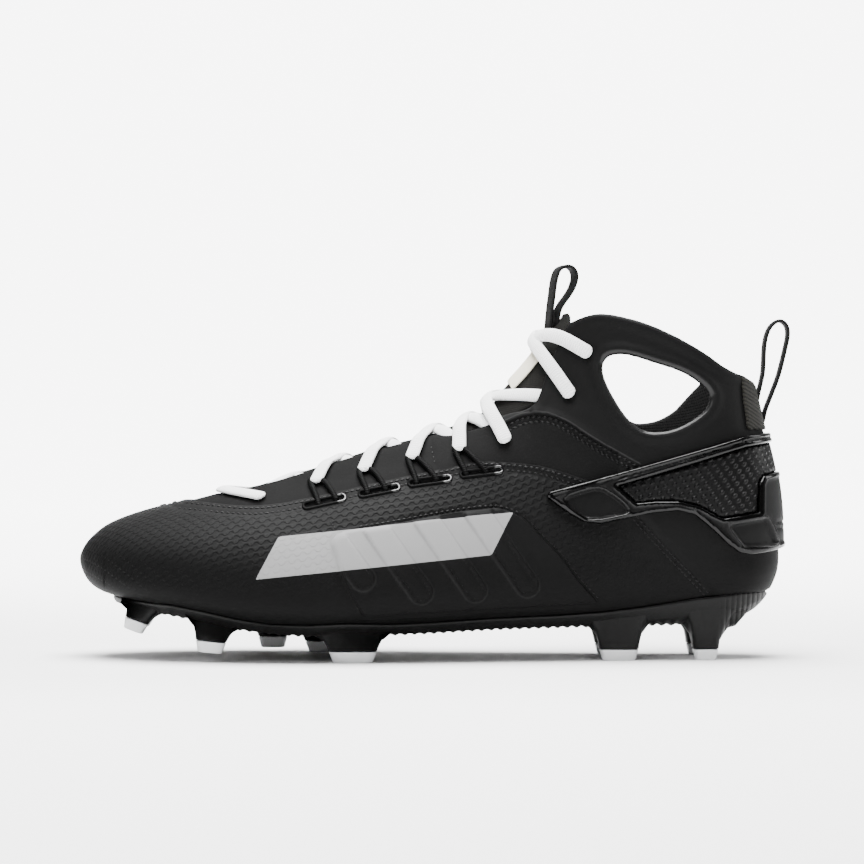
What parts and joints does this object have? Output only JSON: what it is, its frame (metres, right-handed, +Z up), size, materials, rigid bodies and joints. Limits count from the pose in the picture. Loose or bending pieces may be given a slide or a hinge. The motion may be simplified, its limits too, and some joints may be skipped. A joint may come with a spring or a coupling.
{
  "type": "lacrosse cleat",
  "caption": "Mid-height field cleat with a hollow moulded upper, ankle cut-outs, laced throat, glossy heel clip and a studded plate with pale stud tips.",
  "frame": {"origin": "centre of the bounding box's bottom face, on the floor under the studs", "axes": "+X towards the heel, -X towards the toe, -Y lateral side, +Y medial side, +Z up"},
  "size_m": [0.2937, 0.097, 0.1621],
  "materials": {
    "skin": "satin, embossed",
    "mesh": "matt knit",
    "label": "matt",
    "webbing": "ribbed webbing",
    "foam": "matt",
    "plate": "semi-gloss",
    "clip": "glossy",
    "panel": "dimpled",
    "lace": "woven",
    "cord": "braided",
    "tip": "satin"
  },
  "bodies": {
    "root": {"upper": "skin", "tongue": "mesh", "tongue_label": "label", "tongue_loop": "webbing", "insole": "foam", "outsole": "plate", "heel_clip": "clip", "heel_panel": "panel", "heel_tab": "webbing", "heel_loop": "webbing", "lace_toe_bar": "lace", "lace_cross_1": "lace", "lace_cross_2": "lace", "lace_cross_3": "lace", "lace_cross_4": "lace", "lace_cross_5": "lace", "lace_cross_6": "lace", "lace_cross_7": "lace", "lace_loop_lateral_1": "cord", "lace_loop_lateral_2": "cord", "lace_loop_lateral_3": "cord", "lace_loop_lateral_4": "cord", "lace_loop_medial_1": "cord", "lace_loop_medial_2": "cord", "lace_loop_medial_3": "cord", "lace_loop_medial_4": "cord", "stud_tip_toe_lateral": "tip", "stud_tip_toe_medial": "tip", "stud_tip_front_lateral": "tip", "stud_tip_front_medial": "tip", "stud_tip_ball_lateral": "tip", "stud_tip_ball_medial": "tip", "stud_tip_heel_front_lateral": "tip", "stud_tip_heel_front_medial": "tip", "stud_tip_heel_rear_lateral": "tip", "stud_tip_heel_rear_medial": "tip"}
  },
  "joints": []
}
